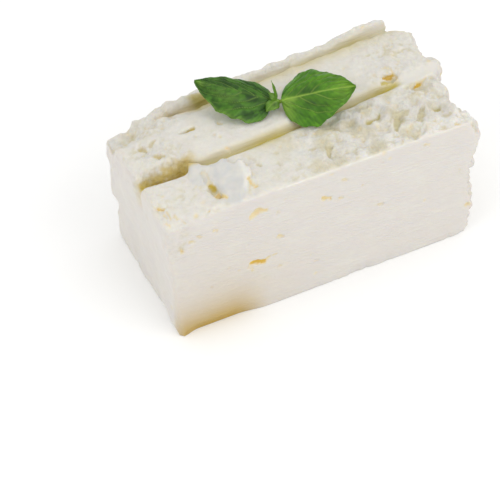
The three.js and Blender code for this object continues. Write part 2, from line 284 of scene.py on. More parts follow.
openings["top", "amber"] = [
    (36.2, 40.9, 37.3, 39.6, 0.6, 0.4, 0.5, 0.6),
    (34.0, 28.0, 34.9, 27.4, 0.5, 0.4, 0.4, 0.6),
    (99.6, 36.3, 102.2, 35.9, 0.3, 0.8, 0.9, 0.95),  # where the front groove ends, and a crack round it
    (98.6, 36.4, 102.8, 36.0, 0.6, 1.3, 0.3, 0.2),
    (101.7, 40.3, 103.5, 38.4, 0.4, 0.4, 0.4, 0.5),
    (103.5, 38.4, 103.1, 34.2, 0.4, 0.4, 0.4, 0.5),
    (107.6, 27.6, 109.6, 28.2, 0.4, 0.9, 1.0, 0.95),
    (106.8, 27.2, 110.2, 28.4, 0.9, 1.5, 0.3, 0.2),
    (110.4, 28.6, 112.8, 29.6, 0.6, 0.4, 0.5, 0.5),
    (110.2, 2.8, 111.2, 2.2, 0.8, 0.6, 0.6, 0.5),
    (34.6, 9.4, 35.6, 6.6, 0.9, 0.7, 0.4, 0.6),
    (22.6, 10.2, 24.4, 5.4, 0.8, 0.5, 0.2, 0.7),  # below the flake's hollow
    (2.2, 12.6, 3.6, 11.2, 0.6, 0.5, 0.6, 0.75),
    (2.6, 8.8, 3.2, 6.8, 0.5, 0.3, 0.4, 0.45),
    (5.8, 6.6, 6.4, 4.8, 0.5, 0.3, 0.4, 0.4),
    (7.6, 4.2, 8.0, 2.8, 0.4, 0.3, 0.3, 0.35),
    (2.2, 5.0, 3.0, 3.6, 0.4, 0.3, 0.3, 0.4),
    (4.0, 9.5, 4.4, 5.5, 0.4, 0.4, 0.4, 0.5),
    (0.8, 1.4, 1.8, 0.8, 0.6, 0.5, 0.4, 0.6),
]
# gold painted shade in the slit, in the hollow behind the flake, between the flake's two halves and in the
# cracks of the broken left end
openings["top", "gold"] = [
    (22.5, 42.1, 27.7, 42.5, 0.4, 0.7, 0.9, 0.9),  # the slit in the middle strip
    (22.4, 14.1, 22.8, 12.9, 0.9, 0.8, 0.1, 1.0),  # behind the flake
    (22.0, 19.6, 22.1, 15.8, 1.1, 1.2, 0.7, 0.12),  # between its two halves
    (7.4, 42.4, 8.8, 39.8, 0.8, 0.5, 0.6, 0.55),  # cracks in the broken left end
    (10.6, 41.4, 13.0, 42.2, 0.7, 0.4, 0.6, 0.45),
    (10.2, 34.8, 13.2, 33.6, 0.9, 0.5, 0.7, 0.6),
]
# olive painted shade in the cracks and hollows of the torn strip and at the front groove's end
openings["top", "olive"] = [
    (83.4, 17.2, 86.6, 18.4, 1.0, 0.7, 0.7, 0.85),  # the forked cracks in the torn strip
    (86.6, 18.4, 88.9, 20.2, 0.6, 0.5, 0.5, 0.75),
    (93.9, 14.8, 90.0, 9.4, 1.8, 0.8, 1.0, 0.55),  # hollows between its lumps
    (94.4, 17.6, 97.6, 17.0, 1.9, 1.6, 0.6, 0.42),
    (102.8, 14.4, 100.2, 10.6, 1.2, 1.0, 0.8, 0.45),
    (107.4, 13.0, 109.6, 13.8, 1.0, 0.6, 0.6, 0.75),
    # a painted shadow of the right leaf
    (66.4, 20.4, 70.4, 20.6, 2.0, 1.6, 0.3, 0.4),
    (75.6, 20.8, 79.0, 21.0, 1.6, 1.2, 0.3, 0.3),
    (71.8, 19.5, 72.8, 18.4, 0.9, 0.6, 0.4, 0.4),
    (59.4, 14.6, 61.4, 14.0, 0.6, 0.5, 0.4, 0.4),
    (65.6, 12.4, 63.8, 8.6, 1.3, 0.5, 0.8, 0.5),
    (97.0, 33.2, 101.0, 33.8, 0.6, 0.9, 0.4, 0.9),  # the front groove's end
    (46.9, 13.5, 47.4, 11.4, 0.6, 0.4, 0.3, 0.35),
    (40.4, 15.8, 41.0, 15.0, 0.6, 0.5, 0.4, 0.4),
    (48.1, 18.6, 48.8, 17.9, 0.6, 0.5, 0.4, 0.4),
]


# flakes peeled up by the knife, fused to their roots in the block: corners as x, y and height from
# the block's corner, bulge of the left and right side, how far the back edge is torn
flakes = {
    "plate": dict(backLeft=(24.6, 22.8, 53.2), backRight=(35.6, 19.3, 54.3), tipRight=(28.0, 2.1, 52.4),
                  tipLeft=(24.2, 3.2, 52.6), bulge=(0.0, 3.2), tear=3.0, rim=0.84, grid=(60, 90)),
    "hook": dict(backLeft=(18.9, 26.9, 54.2), backRight=(24.2, 22.6, 53.4), tipRight=(20.8, 15.6, 52.5),
                 tipLeft=(17.4, 17.2, 52.4), bulge=(-0.3, 0.3), tear=0.8, rim=1.3, grid=(36, 60)),
}
peel = {
    "lift": 0.55,  # mm that a flake lies above its root
    "rimLift": 0.3,  # more along its pale rim
    "edgeDrop": 0.5,  # less at its edges
    "thickness": 1.8,
}


def makeFlake(name, flake):
    across, along = flake["grid"]
    u, v = (g.ravel() for g in np.meshgrid(np.linspace(0, 1, across + 1), np.linspace(0, 1, along + 1)))
    corner = {key: np.array(flake[key]) for key in ("backLeft", "backRight", "tipRight", "tipLeft")}
    front = corner["tipLeft"] + u[:, None] * (corner["tipRight"] - corner["tipLeft"])
    back = corner["backLeft"] + u[:, None] * (corner["backRight"] - corner["backLeft"])
    upper = front + v[:, None] * (back - front)
    left, right = flake["bulge"]
    upper[:, 0] += (left + (right - left) * u) * np.sin(np.pi * v)
    torn = 0.95 * np.exp(-((u - 0.52) / 0.2) ** 2) - 1.6 * np.exp(-((u - 0.74) / 0.1) ** 2)
    upper[:, 1] += flake["tear"] * torn * v ** 3

    # ragged at the back and on the left, smooth along the rim
    ragged = np.maximum(v ** 6, 0.7 * (1 - u) ** 8)
    upper[:, 0] += ragged * 0.5 * bumps(upper, 1.3, 41)
    upper[:, 1] += ragged * (0.7 * bumps(upper, 1.6, 42) + 0.35 * bumps(upper, 0.8, 43))
    swell = 0.22 * bumps(upper, 2.4, 44)
    grain = 0.07 * bumps(upper, 1.0, 45)
    rim = ease(u, flake["rim"] - 0.1, flake["rim"] + 0.1) * ease(v, 0.1, 0.4)
    sunkSide = (1 - ease(u, 0, 0.25)) * ease(v, 0.4, 0.7)
    inFromEdge = np.minimum.reduce([7 * u, 7 * (1 - u), 10 * v, 10 * (1 - v)])
    upper[:, 2] += peel["lift"] + peel["rimLift"] * rim + swell + grain
    upper[:, 2] -= peel["edgeDrop"] * (1 - ease(inFromEdge, 0, 1) + sunkSide)
    upper[:, :2] += cheese["corner"]
    piece = closedSheet(name, list(upper), list(upper - (0, 0, peel["thickness"])), across, along)
    return piece, upper, rim


def nearFlakes(points, sheets):
    # how far each point belongs to a flake, and to its rim, where a highlight is painted
    spots = np.concatenate([upper for _, upper, _ in sheets])
    rims = np.concatenate([rim for _, _, rim in sheets])
    tree = KDTree(len(spots))
    for k, spot in enumerate(spots):
        tree.insert(spot, k)
    tree.balance()
    low, high = spots.min(axis=0) - 1.5, spots.max(axis=0) + 1.5
    near, rim = np.zeros(len(points)), np.zeros(len(points))
    for i in np.flatnonzero(((points > low) & (points < high)).all(axis=1)):
        _, k, away = tree.find(points[i])
        near[i] = 1 - ease(away, 0.2, 1.4)
        rim[i] = near[i] * rims[k]
    return near, rim


def skinOf(solid, sheets, voxel, name):
    # one fine, even mesh over the solid and the sheets on it, which are used up
    joined = bmesh.new()
    for part in [solid] + sheets:
        joined.from_mesh(part.data)
    for sheet in sheets:
        bpy.data.objects.remove(sheet)
    mesh = bpy.data.meshes.new(name)
    joined.to_mesh(mesh)
    joined.free()
    piece = bpy.data.objects.new(name, mesh)
    scene.collection.objects.link(piece)
    remesh = piece.modifiers.new("skin", "REMESH")
    remesh.mode = "VOXEL"
    remesh.voxel_size = voxel * mm
    graph = bpy.context.evaluated_depsgraph_get()
    skin = bpy.data.meshes.new_from_object(piece.evaluated_get(graph))
    piece.modifiers.clear()
    piece.data = skin
    skin.materials.clear()
    return piece


def smootherFor(mesh):
    # averages each point with its neighbours along the mesh's edges
    ends = np.empty(len(mesh.edges) * 2, np.int64)
    mesh.edges.foreach_get("vertices", ends)
    a, b = ends.reshape(-1, 2).T
    count = len(mesh.vertices)
    share = 1 / np.maximum(np.bincount(a, minlength=count) + np.bincount(b, minlength=count), 1)

    def smooth(points, passes, pull=0.6, keep=0.0):
        moved = points.copy()
        step = pull * (1 - keep)
        for _ in range(passes):
            for axis in range(3):
                column = moved[:, axis]
                total = np.bincount(a, column[b], count) + np.bincount(b, column[a], count)
                moved[:, axis] = column + step * (total * share - column)
        return moved
    return smooth


def grooveLine(line, x):
    left, right, bow = line
    return left + (right - left) * np.clip(x / cheese["length"], 0, 1) ** bow


def readBlock(spec, points):
    # places counted from the block's corner, and how far behind each groove's line a point lies
    x, y, z = (points - (*spec["corner"], 0)).T
    return SimpleNamespace(
        x=x, y=y, z=z,
        pastFront=y - grooveLine(spec["frontGroove"], x),
        pastRear=y - grooveLine(spec["rearGroove"], x),
    )


def readFaces(at, normals):
    # how far each point belongs to each face, and to each strip of the top, 0 to 1
    nx, ny, nz = normals.T
    top = ease(nz, 0.35, 0.75)
    return SimpleNamespace(
        top=top,
        front=ease(-ny, 0.55, 0.85),
        back=ease(ny, 0.5, 0.8),
        left=ease(-nx, 0.5, 0.8),
        right=ease(nx, 0.35, 0.7),
        under=ease(-nz, 0.5, 0.8),
        frontStrip=top * ease(-at.pastFront, 1.5, 3.5) * ease(at.y, 1.2, 3.0),
        middleStrip=top * ease(at.pastFront, 1.0, 3.0) * ease(-at.pastRear, 1.0, 2.5),
        rearStrip=top * ease(at.pastRear, 0.3, 1.5),
    )


def tornShare(at, on):
    # how broken the curd is, from a smooth cut to a torn end
    leftPatch = np.exp(-((at.x - 11) / 8) ** 2 - ((at.y - 37) / 8) ** 2)
    corner = ease(14 - at.x, 0, 9) * ease(at.z, 34, 42)
    leftEdge = on.top * ease(6 - at.x, 0, 5)
    brokenCorner = on.top * ease(32 - at.x, 0, 10) * ease(at.y, 42, 50)
    recess = ease(at.pastFront, 0.5, 2) * (1 - ease(at.pastFront, 6, 10))
    recess *= ease(25 - at.x, 0, 5) * ease(at.z, 44, 47)
    return np.maximum.reduce([
        1.0 * on.right,
        0.6 * on.back,
        0.8 * on.rearStrip,
        0.6 * leftEdge,
        1.1 * brokenCorner,
        0.8 * recess,
        on.frontStrip * (0.5 + 0.5 * ease(at.x, 46, 66)) * (1 - 0.8 * on.flake),
        on.middleStrip * (0.4 + 0.35 * ease(at.x, 88, 104) + 0.7 * leftPatch),
        0.14 * on.left,
        on.front * (0.04 + 0.5 * corner),
    ]) * (1 - on.under)


def settleSkin(spec, mesh, smooth, flake):
    # takes off the solid's facets; the foot stays, the cut edge and the flakes give way less
    points = meshPoints(mesh) / mm
    at = readBlock(spec, points)
    foot = 1 - ease(at.z, 0.2, 0.8)
    cutEdge = np.exp(-((at.y - 1.5) / 1.6) ** 2) * ease(at.z, 49.5, 51.0) * ease(at.x, 28, 36)
    keep = np.maximum.reduce([0.4 * cutEdge, foot, 0.5 * flake])
    points = smooth(points, spec["settlePasses"], keep=keep)
    movePoints(mesh, points)
    normals = smooth(meshPoints(mesh, "normal"), 6)
    return points, normals / np.linalg.norm(normals, axis=1, keepdims=True), foot


def curdRelief(spec, points, at, on):
    # curd lumps in three sizes, the largest strongest on the broken end, and how deep in a crease
    big, middle, small = (lumps(points, size, 1 + 4 * k) for k, size in enumerate(spec["lumps"]))
    height = (0.5 + 0.9 * on.right) * big + (0.36 + 0.17 * on.right) * middle + 0.16 * small - 0.5
    hilly = 1.15 + 0.75 * on.frontStrip * ease(at.x, 62, 78)
    height += hilly * bumps(points, spec["hills"], 14) * (1 - on.right)
    crease = ease(0.42 - 0.5 * big - 0.35 * middle - 0.15 * small, 0, 0.3)
    soft = 0.13 * bumps(points, 6.5, 13) * (1 - 0.6 * on.front)
    broken = ease(32 - at.x, 0, 10) * ease(at.y, 40, 50) * ease(at.z, 36, 42)
    ridge = on.rearStrip * (1 - 0.6 * ease(at.x, 40, 70)) * ease(at.x, 8, 20)
    width, high = spec["ridges"]
    ridges = high * bumps(points, width, 16) * np.maximum(broken, ridge)
    return on.torn * height + soft + ridges, crease * ease(on.torn, 0.2, 0.7)


def openSlots(slots, across, along, face, ragged, relief, tone):
    # sinks each slot and paints shade in it, with a ragged edge
    for a0, b0, a1, b1, r0, r1, depth, strength in slots:
        da, db = a1 - a0, b1 - b0
        t = np.clip(((across - a0) * da + (along - b0) * db) / (da * da + db * db), 0, 1)
        away = np.hypot(across - a0 - t * da, along - b0 - t * db) / (r0 + (r1 - r0) * t)
        inside = face * ease(1.35 - away - ragged, 0, 0.7)
        relief -= depth * inside
        np.maximum(tone, strength * inside, out=tone)


def openPores(spec, points, chance, ragged, relief, tone):
    rng = np.random.default_rng(spec["seed"])
    picks = rng.choice(len(points), spec["pores"], p=chance / chance.sum(), replace=False)
    for pick in picks:
        radius = rng.uniform(*spec["poreRadius"])
        away = ((points - points[pick]) ** 2).sum(axis=1)
        dent = np.exp(-away / radius ** 2) * (1 + 0.7 * ragged)
        relief -= rng.uniform(*spec["poreDepth"]) * dent
        np.maximum(tone, rng.uniform(*spec["poreTone"]) * dent, out=tone)


def openCurd(spec, points, at, on, ragged, relief):
    # sinks the openings and the pores into the relief, and gives back the shade painted in them
    tones = {name: np.zeros(len(points)) for name in ("amber", "gold", "olive")}
    upFace = {"front": at.z, "top": at.y}
    for (face, name), slots in openings.items():
        openSlots(slots, at.x, upFace[face], getattr(on, face), ragged, relief, tones[name])
    chance = (0.08 * on.front + 0.06 * on.left + on.torn ** 1.5) * (1 - on.under) * (1 - on.flake)
    openPores(spec, points, np.where(on.foot > 0.5, 0, chance), ragged, relief, tones["amber"])
    return tones


def grooveStart(spec, at, on):
    # the middle strip falls away towards the start of the rear groove, which is shallow there
    falls = np.exp(-((at.pastRear + 2.0) / 3.0) ** 2) * ease(at.x, 20, 30) * (1 - ease(at.x, 48, 58))
    shallow = ease(at.pastRear, -0.8, 0.8) * (1 - ease(at.pastRear, 2.5, 5.0))
    shallow *= ease(at.x, 14, 24) * (1 - ease(at.x, 46, 58)) * ease(at.z, 42, 46)
    return spec["fill"] * shallow - spec["fall"] * falls * on.top


def burrShare(points, at, on):
    # the burr comes and goes along the edge, and thins out to the right
    along = ease(at.x, 34, 46) * (1 - 0.7 * ease(at.x, 72, 88))
    edge = 2 * on.front * on.top * ease(at.z, 48, 50) * (1 - ease(at.y, 3, 5))
    return np.clip(edge * along * (0.3 + 1.1 * bumps(points, 3.2, 23)), 0, 1)


def lowerEdge(spec, at):
    # mm that the foot of the front stands in: undercut at the left, chipped at the right
    along = np.stack([at.x, 0 * at.x, 0 * at.x], axis=1)
    undercut = ease(at.x, 1, 7) * (1 - ease(at.x, 22, 34)) * ease(7 - at.z, 0, 7) ** 2
    wide, narrow = spec["chips"]
    chips = np.clip(0.9 * bumps(along, wide, 31) + 0.5 * bumps(along, narrow, 32), 0, 1)
    chips = chips * ease(at.x, 45, 75) * ease(5 - at.z, 0, 4.5)
    return (spec["undercut"] * undercut + chips) * (1 - ease(at.y, 1.0, 5.0))


def band(past, frontReach, backReach):
    # a soft stripe along a groove's line, with its own reach to the front and to the back
    return np.exp(-(past / np.where(past < 0, frontReach, backReach)) ** 2)


def grooveShade(at):
    # painted shade in the mould's prints: darkest by the steep front wall, fading up the leaning back one
    # beside the right leaf the front groove also gets a wider painted shadow of the leaf
    byLeaf = np.exp(-((at.x - 50) / 9) ** 2)
    front = np.maximum(band(at.pastFront, 1.0, 1.9), 0.75 * byLeaf * band(at.pastFront, 4.2, 1.9))
    front *= (1 - ease(at.x, 101, 105)) * ease(at.x, 14, 22)
    front *= 0.75 + 0.3 * byLeaf + 0.3 * ease(at.x, 84, 98)
    rear = np.maximum(band(at.pastRear, 0.9, 1.1), 0.85 * band(at.pastRear, 5.6, 1.1))
    rear *= ease(at.x, 30, 40) * (0.7 - 0.25 * ease(at.x, 98, 110))
    return np.clip(np.maximum(front, rear), 0, 1) * ease(at.z, 42, 46)


def rearStart(at):
    # painted shade where the rear groove begins, as a thin pale line, then a wide painted shadow of the left
    # leaf up its back wall
    thread = band(at.pastRear, 1.6, 1.6) * ease(at.x, 15, 20) * (1 - ease(at.x, 32, 36))
    leafShadow = 0.85 * ease(at.pastRear, -2.5, -0.5) * (1 - ease(at.pastRear, 1.8, 4.8))
    leafShadow *= ease(at.x, 30, 34) * (1 - ease(at.x, 46, 52))
    return thread * ease(at.z, 42, 46), leafShadow * ease(at.z, 42, 46)


def recessShade(at, ragged):
    # painted shade, gold, in the torn recess at the left end of the front groove, widest at its right
    reach = 6 + 1.5 * ease(at.x, 3, 17)
    front = ease(at.pastFront, -0.8, 0.5) * (1 - ease(at.pastFront + 2.5 * ragged, 0.5 * reach, reach))
    front *= ease(at.x, -1, 2) * (1 - ease(at.x, 19, 24))
    return front * (0.9 - 0.1 * ease(at.x, 8, 20) + 0.35 * ragged) * ease(at.z, 40, 44)


def footShadeShare(at, on):
    # painted shade low on the front, at the left, darkest at the foot: the shadow that loose crumbs, left out
    # here, cast on it
    up = np.clip(at.z, 0, 60)
    footShade = 0.84 * ease(at.x, -5, 3) * (1 - ease(at.x, 20, 36)) * np.exp(-(up / 9.6) ** 1.6)
    footShade += 0.17 * np.exp(-((at.x - 20) / 22) ** 2 - (up / 24) ** 2)
    return footShade * ease(6 - at.y, 0, 4) * (1 - on.under)


def curdTones(points, at, on, tones, ragged, sunk, hollow):
    # share of each colour at each point; sunk and hollow: mm below the surface near by and around
    clusters = ease(bumps(points, 11.0, 4), -0.3, 0.4)
    # painted shade in wide hollows
    hollowShade = 0.42 * ease(hollow, 0.35, 1.5) * (1 - on.under)
    whiter = on.frontStrip * ease(at.x, 92, 102) * (1 - ease(at.y, 7, 11))
    dull = 0.28 * ease(bumps(points, 7.5, 15), 0.0, 0.55) * ease(at.x, 40, 60)
    dull *= on.frontStrip * (1 - whiter)
    # painted shade in the creases between curd lumps, in clusters
    creaseShade = 0.35 * on.crease * clusters * (1 - 0.6 * np.maximum(on.rearStrip, on.back))
    thread, leafShadow = rearStart(at)
    olive = np.maximum.reduce([tones["olive"], grooveShade(at), leafShadow, creaseShade, hollowShade, dull])
    gold = np.maximum(tones["gold"], recessShade(at, ragged))
    # where the painted shade is tinted olive or gold
    shadeTinted = ease(np.maximum(olive, gold), 0.1, 0.5)
    shaded = 0.3 * ease(sunk, 0.08, 0.4) * (1 - shadeTinted)
    clean = 0.45 * ease(bumps(points, 6.0, 17), 0.15, 0.6) * on.frontStrip * ease(at.x, 50, 70)
    milky = np.clip(0.62 + 0.5 * bumps(points, 3.4, 18) + 0.3 * bumps(points, 1.5, 19), 0, 1)
    return {
        "amber": np.maximum.reduce([tones["amber"], shaded, 0.42 * thread]),
        "gold": gold,
        "olive": olive,
        "footShade": footShadeShare(at, on),
        "creamy": 0.8 * on.top + 0.1 * on.left + 0.3 * on.back,
        # painted shade on the flakes' faces, mottled; their rim is kept out of it
        "flake": on.flake * milky * (1 - on.rim) * (1 - shadeTinted),
        # painted highlight on the knife's burr and on the flakes' rim, with paler patches on the torn strip
        # and at its right end
        "paleAndHighlight": np.maximum.reduce([0.8 * on.burr, clean, 0.6 * whiter, 0.35 * on.rim]),
    }


def makeCheese(spec):
    sheets = [makeFlake(name, flake) for name, flake in flakes.items()]
    piece = skinOf(frame["nodes"]["cheese_block"], [s[0] for s in sheets], spec["voxel"], "cheese")
    mesh = piece.data
    smooth = smootherFor(mesh)
    flake, rim = nearFlakes(meshPoints(mesh) / mm, sheets)
    points, normals, foot = settleSkin(spec, mesh, smooth, flake)
    at = readBlock(spec, points)
    on = readFaces(at, normals)
    on.flake, on.rim, on.foot = flake, rim, foot
    on.torn = tornShare(at, on)
    on.burr = burrShare(points, at, on)
    relief, on.crease = curdRelief(spec, points, at, on)
    ragged = 0.45 * bumps(points, 1.7, 21) + 0.3 * bumps(points, 0.9, 22)
    tones = openCurd(spec, points, at, on, ragged, relief)
    relief += grooveStart(spec, at, on) + spec["burr"] * on.burr
    points = points + normals * (relief * (1 - foot))[:, None]
    points[:, 1] += lowerEdge(spec, at)
    points[:, 2] = np.maximum(points[:, 2], 0.0)
    movePoints(mesh, points)

    normals = meshPoints(mesh, "normal")
    sunk = ((smooth(points, 10, 0.7) - points) * normals).sum(axis=1)
    hollow = ((smooth(points, 120, 0.9) - points) * normals).sum(axis=1)
    for name, share in curdTones(points, at, on, tones, ragged, sunk, hollow).items():
        paintAttribute(mesh, name, np.clip(share, 0, 1))
    paintAttribute(mesh, "torn", on.torn)
    smoothShading(mesh)
    return piece


# brined white cheese, pressed curd cut by a knife: a milky, softly glowing white with no clear
# edge to its shadows, moist but not shiny, warm yellow wherever light gets lost in an opening
curdFinish = {
    "white": "#d3cec8",
    "cream": "#d8d5cc",
    # painted highlight, and paler patches
    "paleAndHighlight": "#e8e6e1",
    # painted shade on the flakes
    "flake": "#c7c7c4",
    # peach, amber, gold and olive are painted shade, in openings, cracks, grooves and hollows
    "peach": "#dfd1ac",
    "amber": "#dab54b",
    "gold": "#c0a848",
    "olive": "#b8a84f",
    # painted shade at the foot of the front
    "footShadeColour": "#b2922f",
    "grain": 1.3,  # mm, curd grain in the fine bump
    "fleck": 1.8,  # mm, lighter and darker grains
    "cloud": 9.0,  # mm, drift between white and cream
    "drag": (16.0, 0.8),  # mm, length and spacing of the knife's marks
    "dragSlope": -0.45,  # they run down to the right across the front
    "roughness": (0.42, 0.62),  # cut, torn
    "bumpDepth": (0.5, 1.4),  # mm, cut, torn
    "fleckSpread": (0.12, 1.0),  # how far the flecks show, cut, torn
    "glow": (1.0, 0.75, 0.42),  # how far red, green and blue wander below the surface
    "glowReach": 2.0,  # mm
}


def curdMaterial(spec):
    material, tree = newMaterial("brinedCurdKnifeCut")
    place = addNode(tree, "TexCoord").outputs["Object"]
    names = ("amber", "gold", "olive", "footShade", "torn", "creamy", "flake", "paleAndHighlight")
    share = {n: addNode(tree, "Attribute", {"attribute_name": n}).outputs["Fac"] for n in names}

    long, spacing = spec["drag"]
    turned = addNode(tree, "Mapping", Vector=place, Rotation=(0, math.atan(spec["dragSlope"]), 0),
                     Scale=(1000 / long, 1000 / long, 1000 / spacing))
    marks = addNode(tree, "TexNoise", Vector=turned.outputs[0], Scale=1.0, Detail=3.0)
    clouds = addNode(tree, "TexNoise", Vector=place, Scale=1000 / spec["cloud"], Detail=3.0)
    both = addNode(tree, "Math", i0=clouds.outputs[0], i1=marks.outputs[0])
    drift = addNode(tree, "MapRange", Value=both.outputs[0], From_Min=0.8, From_Max=1.25,
                    To_Min=-0.3, To_Max=0.5)
    cream = addNode(tree, "Math", {"use_clamp": True}, i0=share["creamy"], i1=drift.outputs[0])
    tone = addNode(tree, "MixRGB", Fac=cream.outputs[0], Color1=srgb(spec["white"]),
                   Color2=srgb(spec["cream"]))
    # painted shade on the flakes, painted highlight with paler patches, then olive and gold painted shade
    for name in ("flake", "paleAndHighlight", "olive", "gold"):
        tone = addNode(tree, "MixRGB", Fac=share[name], Color1=tone.outputs[0], Color2=srgb(spec[name]))

    # painted shade in the openings: peach at their edge and amber in their depth
    deep = addNode(tree, "MapRange", Value=share["amber"], From_Min=0.45, From_Max=0.95)
    inside = addNode(tree, "MixRGB", Fac=deep.outputs[0], Color1=srgb(spec["peach"]),
                     Color2=srgb(spec["amber"]))
    shown = addNode(tree, "MapRange", Value=share["amber"], From_Min=0.05, From_Max=0.5)
    tone = addNode(tree, "MixRGB", Fac=shown.outputs[0], Color1=tone.outputs[0], Color2=inside.outputs[0])
    # painted shade low on the front, at the left
    tone = addNode(tree, "MixRGB", Fac=share["footShade"], Color1=tone.outputs[0], Color2=srgb(spec["footShadeColour"]))

    flecks = addNode(tree, "TexNoise", Vector=place, Scale=1000 / spec["fleck"], Detail=3.0, Roughness=0.6)
    value = addNode(tree, "MapRange", Value=flecks.outputs[0], From_Min=0.3, From_Max=0.7,
                    To_Min=0.93, To_Max=1.07)
    low, high = spec["fleckSpread"]
    spread = addNode(tree, "MapRange", Value=share["torn"], To_Min=low, To_Max=high)
    tone = addNode(tree, "MixRGB", {"blend_type": "MULTIPLY"}, Fac=spread.outputs[0],
                   Color1=tone.outputs[0], Color2=value.outputs[0])

    grain = addNode(tree, "TexNoise", Vector=place, Scale=1000 / spec["grain"], Detail=4.0, Roughness=0.6)
    height = addNode(tree, "Mix", {"data_type": "FLOAT"}, Factor=share["torn"], A=marks.outputs[0],
                     B=grain.outputs[0])
    low, high = spec["bumpDepth"]
    depth = addNode(tree, "MapRange", Value=share["torn"], To_Min=low * mm, To_Max=high * mm)
    bump = addNode(tree, "Bump", Height=height.outputs[0], Distance=depth.outputs[0], Strength=0.7)
    low, high = spec["roughness"]
    rough = addNode(tree, "MapRange", Value=share["torn"], To_Min=low, To_Max=high)
    curd = addNode(tree, "BsdfPrincipled", Base_Color=tone.outputs[0], Roughness=rough.outputs[0],
                   Normal=bump.outputs[0], IOR=1.42, Subsurface_Weight=0.45,
                   Subsurface_Radius=spec["glow"], Subsurface_Scale=spec["glowReach"] * mm)
    addNode(tree, "OutputMaterial", Surface=curd.outputs[0])
    return material


cheesePiece = makeCheese(cheese)
cheesePiece.data.materials.append(curdMaterial(curdFinish))
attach(cheesePiece, "root")
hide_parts("cheese_block")
print("cheese block:", len(cheesePiece.data.polygons), "faces")


# basil sprig: two leaves, the bud between them
sprig = {
    "foot": (-2.1, 4.5),  # mm from the block's middle, where the stem stands
    "gap": 0.35,  # mm between a leaf and the cheese
    "thickness": 0.45,
    "stalk": 0.05,  # share of the leaf's length
    "edgeWaves": 5,
    "firstVein": 0.06,  # share of the length where the side veins begin, and the step between them
    "veinStep": 0.2,
    "ribs": 17,  # fine ribs between the side veins
    "veinWidth": 0.3,  # mm, half
    "stemRadius": 0.72,  # mm
    "stemTop": 3.75,  # mm above the cheese
    "stemGrid": (12, 8),  # sides, rings
}

# each leaf: stem end and tip (mm from the block's middle, height above its top), half widths, roll of
# the blade about its midrib, arch, cup, how round its base and sharp its point are, how pale its
# midrib and side veins are and how dark the painted shade in the lines along it; dark patches of painted
# shade and light patches of painted highlight as shares of its length and half width, each with its place,
# its reach and its strength
leaves = {
    "leftLeaf": dict(start=(-2.2, 4.5, 3.2), tip=(-26.9, 18.7, 12.0), half=(10.5, 6.5), roll=-14.0,
                     arch=0.4, cup=0.23, base=0.36, taper=0.7, midrib=0.2, veins=0.25, crease=0.8,
                     grid=(66, 100),
                     dark=[(0.26, 0.16, 0.12, 0.2, 1.0), (0.7, -0.4, 0.15, 0.4, 0.5),
                           (0.35, -0.4, 0.2, 0.3, 0.4)],
                     light=[(0.6, 1.0, 0.5, 0.1, 0.8), (0.93, 0.2, 0.05, 0.3, 1.0),
                            (0.6, 0.4, 0.2, 0.2, 0.4)]),
    "rightLeaf": dict(start=(-2.0, 4.5, 3.0), tip=(23.4, -6.6, 8.0), half=(12.0, 12.0), roll=15.5,
                      arch=0.9, cup=0.23, base=0.54, taper=0.92, midrib=1.0, veins=0.1, crease=0.5,
                      grid=(72, 100),
                      dark=[(0.38, 0.1, 0.16, 0.22, 0.7), (0.42, -0.3, 0.14, 0.16, 0.7),
                            (0.6, -0.55, 0.1, 0.2, 0.5)],
                      light=[(0.1, -0.5, 0.1, 0.6, 0.9), (0.2, -0.08, 0.07, 0.1, 0.9),
                             (0.88, 0, 0.14, 0.9, 0.5)]),
    "budLeaf": dict(start=(-2.1, 4.4, 3.2), tip=(-7.8, 0.8, 3.6), half=(2.4, 2.4), roll=-12.0,
                    arch=1.0, cup=0.2, base=0.54, taper=0.92, midrib=0.6, veins=0.0, crease=0.5,
                    grid=(16, 24), dark=[(0.5, 0.2, 0.2, 0.3, 0.7)], light=[(0.5, 1.0, 0.5, 0.3, 0.6)]),
    "uprightLeaf": dict(start=(-2.2, 4.6, 3.2), tip=(-4.2, 6.4, 6.4), half=(1.5, 1.5), roll=-20.0,
                        arch=0.6, cup=0.2, base=0.54, taper=0.92, midrib=0.3, veins=0.0, crease=0.5,
                        grid=(12, 20), dark=[(0.3, 0, 0.2, 0.5, 0.6)], light=[]),
    "budSpike": dict(start=(-2.0, 4.6, 3.0), tip=(-1.8, 9.2, 9.0), half=(1.2, 1.2), roll=48.0,
                     arch=0.3, cup=0.0, base=0.54, taper=0.92, midrib=0.0, veins=0.0, crease=0.3,
                     grid=(6, 20), dark=[], light=[]),
}


def leafOutline(leaf, u):
    blade = min(max((u - sprig["stalk"]) / (1 - sprig["stalk"]), 0.0), 1.0)
    widest = leaf["base"] / (leaf["base"] + leaf["taper"])
    shape = (blade / widest) ** leaf["base"] * ((1 - blade) / (1 - widest)) ** leaf["taper"]
    return shape * (1 + 0.03 * math.sin(2 * math.pi * sprig["edgeWaves"] * blade))


def patches(spots, u, v):
    return sum(a * math.exp(-((u - u0) / ru) ** 2 - ((v - v0) / rv) ** 2) for u0, v0, ru, rv, a in spots)


